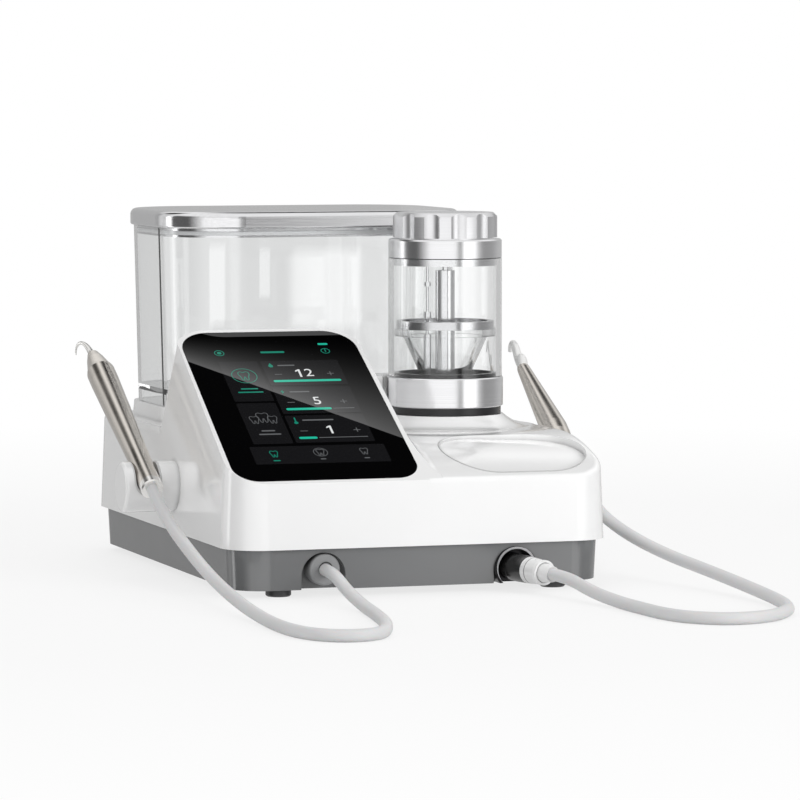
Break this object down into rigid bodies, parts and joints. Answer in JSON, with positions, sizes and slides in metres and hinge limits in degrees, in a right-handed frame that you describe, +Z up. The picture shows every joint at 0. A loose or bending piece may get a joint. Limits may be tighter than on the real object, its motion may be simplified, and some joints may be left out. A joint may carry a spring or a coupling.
{
  "type": "dental scaler and air polisher",
  "caption": "Table-top dental scaler and air polisher with sloping touch screen, lift-off water tank, screw-capped powder chamber and side-holstered handpieces on silicone cords.",
  "frame": {"origin": "on the table under the middle of the object, cords left out", "axes": "+Z up, front with the screen and cord ports towards -Y, +X to the right seen from the front"},
  "size_m": [0.3065, 0.4987, 0.2038],
  "materials": {
    "white_shell": "high gloss",
    "grey_tray": "fine satin grain",
    "foot_rubber": "matte",
    "steel": "brushed",
    "screen_glass": "polished black glass",
    "display": "matte",
    "board": "solder mask",
    "unit_metal": "folded sheet",
    "pump_plastic": "moulded",
    "rotor_plastic": "moulded",
    "panel_grey": "fine grain",
    "inlet_black": "moulded",
    "fuse_glass": "glass tube",
    "clear_tank": "clear, polished",
    "clear_chamber": "clear, polished",
    "brushed_metal": "turned, fine circular brushing",
    "bright_metal": "polished",
    "seal_black": "matte",
    "seal_clear": "satin silicone",
    "liner_white": "satin silicone",
    "hand_metal": "warm brushed metal",
    "tip_metal": "polished",
    "gland_grey": "satin",
    "cord_white": "satin silicone",
    "plug_white": "satin"
  },
  "bodies": {
    "base": {"upper_housing": "white_shell", "base_tray": "grey_tray", "feet": "foot_rubber", "case_screws": "steel", "screen_glass": "screen_glass", "display_module": "display", "main_board": "board", "board_screws": "steel", "power_supply": "unit_metal", "pump_body": "pump_plastic", "water_heater": "unit_metal", "air_valve": "unit_metal", "rear_panel": "panel_grey", "panel_screws": "steel", "mains_inlet": "inlet_black", "power_switch": "inlet_black", "air_inlet": "bright_metal", "pedal_socket": "bright_metal", "tank_socket": "inlet_black", "dock_socket": "inlet_black", "left_holder": "white_shell", "right_holder": "white_shell", "left_liner": "liner_white", "right_liner": "liner_white", "left_gland": "gland_grey", "right_socket": "bright_metal", "right_plug": "plug_white", "right_plug_ring": "bright_metal", "left_cord": "cord_white", "right_cord": "cord_white"},
    "water_tank": {"tank_shell": "clear_tank", "tank_outlet": "seal_clear"},
    "lid": {"tank_lid": "brushed_metal", "lid_seal": "seal_clear"},
    "powder_chamber": {"chamber_seal": "seal_black", "chamber_base": "brushed_metal", "chamber_glass": "clear_chamber", "funnel": "clear_chamber", "mid_ring": "bright_metal", "center_tube": "brushed_metal", "center_pin": "brushed_metal", "pickup_tube": "bright_metal", "suction_tube": "bright_metal", "chamber_collar": "brushed_metal"},
    "cap_carrier": {"cap_seal": "seal_black"},
    "cap": {"chamber_cap": "brushed_metal"},
    "rocker": {"power_rocker": "inlet_black"},
    "fuse_holder": {"fuse_drawer": "inlet_black", "fuses": "fuse_glass"},
    "scaler": {"scaler_tail": "bright_metal", "scaler_body": "hand_metal", "scaler_nose": "hand_metal"},
    "scaler_insert": {"scaler_tip": "tip_metal"},
    "polisher": {"polisher_tail": "bright_metal", "polisher_body": "hand_metal"},
    "polisher_insert": {"polisher_nozzle": "tip_metal"},
    "rotor": {"pump_rotor": "rotor_plastic"}
  },
  "joints": [
    {"name": "tank_lift", "type": "slide", "parent": "base", "child": "water_tank", "axis": [0, 0, 1], "range_m": [0, 0.125]},
    {"name": "lid_lift", "type": "slide", "parent": "water_tank", "child": "lid", "axis": [0, 0, 1], "range_m": [0, 0.04]},
    {"name": "chamber_lift", "type": "slide", "parent": "base", "child": "powder_chamber", "axis": [0, 0, 1], "range_m": [0, 0.125]},
    {"name": "cap_rise", "type": "slide", "parent": "powder_chamber", "child": "cap_carrier", "axis": [0, 0, 1], "range_m": [0, 0.04]},
    {"name": "cap_turn", "type": "hinge", "parent": "cap_carrier", "child": "cap", "pos_m": [0.0543, -0.0214, 0.1965], "axis": [0, 0, 1], "range_deg": [0, 1440]},
    {"name": "rocker_tilt", "type": "hinge", "parent": "base", "child": "rocker", "pos_m": [-0.005, 0.145, 0.051], "axis": [1, 0, 0], "range_deg": [0, 16]},
    {"name": "fuse_slide", "type": "slide", "parent": "base", "child": "fuse_holder", "axis": [0, 1, 0], "range_m": [0, 0.018]},
    {"name": "scaler_lift", "type": "slide", "parent": "base", "child": "scaler", "axis": [0, -0.4509, 0.8926], "range_m": [0, 0.045]},
    {"name": "scaler_tip_off", "type": "slide", "parent": "scaler", "child": "scaler_insert", "axis": [0, 0.8926, 0.4509], "range_m": [0, 0.012]},
    {"name": "polisher_lift", "type": "slide", "parent": "base", "child": "polisher", "axis": [0, -0.509, 0.8607], "range_m": [0, 0.045]},
    {"name": "polisher_nozzle_off", "type": "slide", "parent": "polisher", "child": "polisher_insert", "axis": [0, 0.8607, 0.509], "range_m": [0, 0.012]},
    {"name": "pump_turn", "type": "hinge", "parent": "base", "child": "rotor", "pos_m": [0.034, 0.098, 0.02], "axis": [0, 0, 1], "continuous": true}
  ],
  "couplings": [
    {"joint": "cap_rise", "follows": "cap_turn", "m_per_rad": 0.0015915}
  ]
}
